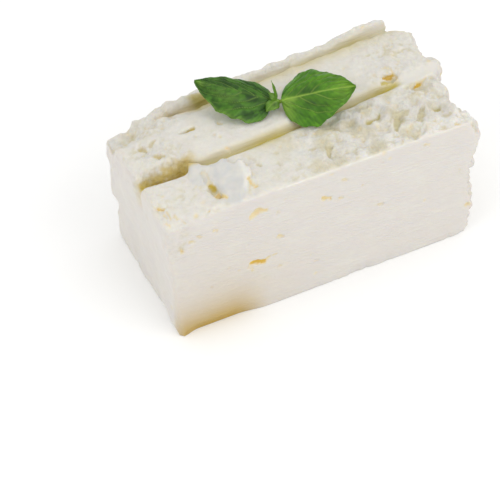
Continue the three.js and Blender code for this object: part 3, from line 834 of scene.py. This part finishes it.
def veinPattern(leaf, u, v, half, length):
    # pale lines of the midrib and of the side veins, which leave it at a slant and bend towards the
    # tip; the pillows between them; and the painted shade: the dark crease beside the midrib, the dark
    # patches and the fine ribs
    thin = sprig["veinWidth"]
    midrib = leaf["midrib"] * math.exp(-(half * v / (thin * (1.3 - 0.6 * u))) ** 2)
    slant = 0.7 * abs(v) ** 1.15 + 0.02 * math.sin(9 * v + 4 * u)
    along = (u - sprig["firstVein"] - slant) / sprig["veinStep"] + (0.3 if v > 0 else 0.0)
    rank = round(along)
    off = abs(along - rank) * sprig["veinStep"] * length
    strength = (0.75, 0.4, 0.55, 0.3)[rank % 4] + leaf["veins"] if 0 <= rank < 5 else 0.0
    side = strength * math.exp(-(off / thin) ** 2) * (1 - 0.6 * abs(v))
    pillow = math.cos(2 * math.pi * along) if -1.5 < along < 4.5 else 0.0
    rib = 0.5 + 0.5 * math.sin(2 * math.pi * sprig["ribs"] * (u - 0.25 * abs(v)))
    line = max(pillow, 0) ** 3
    shade = patches(leaf["dark"], u, v) + 0.6 * leaf["crease"] * line + 0.3 * rib * abs(v) ** 0.5
    return max(midrib, side), pillow, min(shade, 1)


def leafPoint(leaf, u, v):
    start = Vector(leaf["start"])
    along = Vector(leaf["tip"]) - start
    side = Vector((0, 0, 1)).cross(along).normalized()
    side.rotate(Quaternion(along.normalized(), math.radians(leaf["roll"])))
    up = along.cross(side).normalized()
    widest = leaf["half"][0 if v > 0 else 1]
    half = max(widest * leafOutline(leaf, u), 0.01 * along.length + 0.1)
    ripple = 0.05 * widest * math.sin(14 * u + 2 * v) * v * v
    rise = leaf["arch"] * math.sin(math.pi * u) - leaf["cup"] * half * v * v + ripple
    vein, pillow, crease = veinPattern(leaf, u, v, half, along.length)
    big = min(widest / 10, 1.0)
    rise -= big * (0.25 * vein + 0.5 * crease + 0.2 * pillow * min(1, 3 * abs(v)) * (1 - abs(v) ** 3))
    return start + along * u + side * (half * v) + up * rise, vein, crease


def makeLeaf(name, leaf, topAt, topHeight):
    across, along = leaf["grid"]
    upper, lower, veins, creases, lights = [], [], [], [], []
    for j in range(along + 1):
        u = j / along
        for i in range(across + 1):
            v = 1 - 2 * i / across
            p, vein, crease = leafPoint(leaf, u, v)
            lowest = topAt(p.x, p.y) - topHeight + sprig["gap"] + sprig["thickness"] / 2
            p.z = max(p.z, lowest) + topHeight
            thick = sprig["thickness"] * (0.35 + 0.65 * (1 - abs(v) ** 4)) / 2
            upper.append(p + Vector((0, 0, thick)))
            lower.append(p - Vector((0, 0, thick)))
            veins.append(vein)
            creases.append(crease)
            # painted highlights where the light patches are
            lights.append(min(patches(leaf["light"], u, v), 1))
    piece = closedSheet(name, upper, lower, across, along)
    count = len(upper)
    paintAttribute(piece.data, "vein", veins + [0.6 * w for w in veins])
    paintAttribute(piece.data, "crease", creases + [0.0] * count)
    paintAttribute(piece.data, "light", lights * 2)
    paintAttribute(piece.data, "underside", [0.0] * count + [1.0] * count)
    return piece


# fresh basil, a grown leaf with a thin waxy skin: soft gloss on the pillows between the veins,
# paler veins, a duller and lighter underside
basilFinish = {
    # deep green, fresh green, and the paler green of the veins, also used for the painted highlights
    "leftLeaf": ("#294f0e", "#47771b", "#88ad4a"),
    "rightLeaf": ("#417310", "#558a16", "#98b84a"),
    "bud": ("#46701a", "#5c8824", "#88a746"),
    # painted shade in the creases and the dark patches
    "crease": "#16330b",
    "mottle": 3.2,  # mm, drift between darker and lighter green
    "cells": 0.55,  # mm, fine skin texture, drawn coarser than life so that it shows
    "cellDepth": 0.08,  # mm
    "roughness": (0.36, 0.6),  # upper side, underside
}


def basilMaterial(name, tones):
    deep, fresh, vein = tones
    material, tree = newMaterial(name)
    place = addNode(tree, "TexCoord").outputs["Object"]
    mottle = addNode(tree, "TexNoise", Vector=place, Scale=1000 / basilFinish["mottle"], Detail=3.0)
    drift = addNode(tree, "MapRange", Value=mottle.outputs[0], From_Min=0.42, From_Max=0.61)
    tone = addNode(tree, "MixRGB", Fac=drift.outputs[0], Color1=srgb(deep), Color2=srgb(fresh))
    # painted highlights, painted shade in creases and hollows, then the paler veins and underside
    layers = [("light", 0.55, vein), ("crease", 0.8, basilFinish["crease"]), ("vein", 0.8, vein),
              ("underside", 0.5, vein)]
    for painted, strength, colour in layers:
        share = addNode(tree, "Attribute", {"attribute_name": painted}).outputs["Fac"]
        amount = addNode(tree, "Math", {"operation": "MULTIPLY"}, i0=share, i1=strength)
        tone = addNode(tree, "MixRGB", Fac=amount.outputs[0], Color1=tone.outputs[0], Color2=srgb(colour))
    below = addNode(tree, "Attribute", {"attribute_name": "underside"}).outputs["Fac"]
    cells = addNode(tree, "TexVoronoi", Vector=place, Scale=1000 / basilFinish["cells"])
    depth = basilFinish["cellDepth"] * mm
    bump = addNode(tree, "Bump", Height=cells.outputs[0], Distance=depth, Strength=0.4)
    smoothSide, dullSide = basilFinish["roughness"]
    rough = addNode(tree, "MapRange", Value=below, To_Min=smoothSide, To_Max=dullSide)
    skin = addNode(tree, "BsdfPrincipled", Base_Color=tone.outputs[0], Roughness=rough.outputs[0],
                   Normal=bump.outputs[0], IOR=1.45, Subsurface_Weight=0.12,
                   Subsurface_Radius=(0.6, 1.0, 0.3), Subsurface_Scale=0.6 * mm)
    skin.inputs["Specular IOR Level"].default_value = 0.3
    addNode(tree, "OutputMaterial", Surface=skin.outputs[0])
    return material


def heightFinder(piece):
    corners = [v.co.copy() for v in piece.data.vertices]
    tree = BVHTree.FromPolygons(corners, [tuple(f.vertices) for f in piece.data.polygons])

    def topAt(px, py):
        hit = tree.ray_cast(Vector((px * mm, py * mm, 0.2)), Vector((0, 0, -1)))[0]
        return hit.z / mm if hit else 0.0
    return topAt


def makeStem(topHeight):
    sides, rings = sprig["stemGrid"]
    footX, footY = sprig["foot"]
    points, faces = [], []
    low, high = topHeight + sprig["gap"], topHeight + sprig["stemTop"]
    for j in range(rings + 1):
        t = j / rings
        radius = sprig["stemRadius"] + 0.2 * t + 0.12 * math.sin(5 * t)
        for i in range(sides):
            turn = 2 * math.pi * i / sides
            x, y = footX + radius * math.cos(turn), footY + radius * math.sin(turn)
            points.append((x, y, low + (high - low) * t))
    for j in range(rings):
        for i in range(sides):
            k = (i + 1) % sides
            faces.append((j * sides + i, j * sides + k, (j + 1) * sides + k, (j + 1) * sides + i))
    faces.append(tuple(range(sides - 1, -1, -1)))
    faces.append(tuple(range(rings * sides, (rings + 1) * sides)))
    mesh = bpy.data.meshes.new("stem")
    mesh.from_pydata([Vector(p) * mm for p in points], [], faces)
    paintAttribute(mesh, "vein", [0.5] * len(points))
    paintAttribute(mesh, "underside", [0.0] * len(points))
    smoothShading(mesh)
    piece = bpy.data.objects.new("stem", mesh)
    scene.collection.objects.link(piece)
    return piece


topAt = heightFinder(cheesePiece)
sprigTop = topAt(*sprig["foot"])
sprigPieces = [makeLeaf(name, leaf, topAt, sprigTop) for name, leaf in leaves.items()]
sprigPieces.append(makeStem(sprigTop))
budGreen = basilMaterial("basilBudSkin", basilFinish["bud"])
for piece in sprigPieces:
    if piece.name in basilFinish:
        piece.data.materials.append(basilMaterial("basilSkin_" + piece.name, basilFinish[piece.name]))
    else:
        piece.data.materials.append(budGreen)
    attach(piece, "root")
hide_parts("basil_sprig")
print("basil sprig:", ", ".join(p.name for p in sprigPieces))
